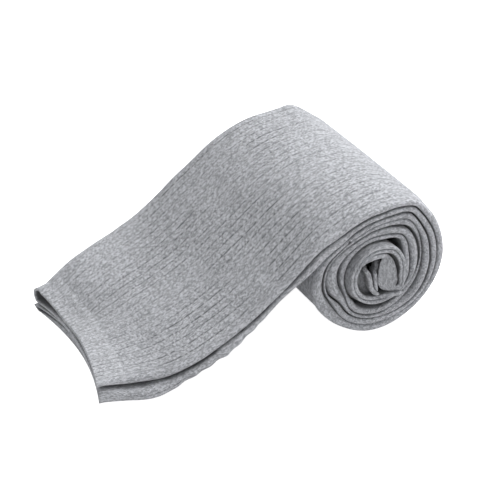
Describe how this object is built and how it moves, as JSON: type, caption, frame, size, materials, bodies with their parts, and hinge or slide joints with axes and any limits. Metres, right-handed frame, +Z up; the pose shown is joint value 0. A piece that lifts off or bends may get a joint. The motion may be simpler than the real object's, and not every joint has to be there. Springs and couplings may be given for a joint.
{
  "type": "pair of over-the-knee socks",
  "caption": "Ribbed over-the-knee socks lying one on the other and rolled up from the toes, with the loose welt ends trailing from the top of the roll.",
  "frame": {"origin": "centre of the bounding box's underside, on the surface that the socks lie on", "axes": "+X from the loose welt ends towards the roll, +Y along the roll's axis away from the camera, +Z up"},
  "size_m": [0.1628, 0.095, 0.0688],
  "materials": {
    "upper_sock_leg": "light grey marled rib knit",
    "upper_sock_welt": "light grey marled fine rib knit",
    "lower_sock_leg": "light grey marled rib knit",
    "lower_sock_welt": "light grey marled fine rib knit"
  },
  "bodies": {
    "root": {"upper_sock_leg": "upper_sock_leg", "upper_sock_welt": "upper_sock_welt", "lower_sock_leg": "lower_sock_leg", "lower_sock_welt": "lower_sock_welt"}
  },
  "joints": []
}
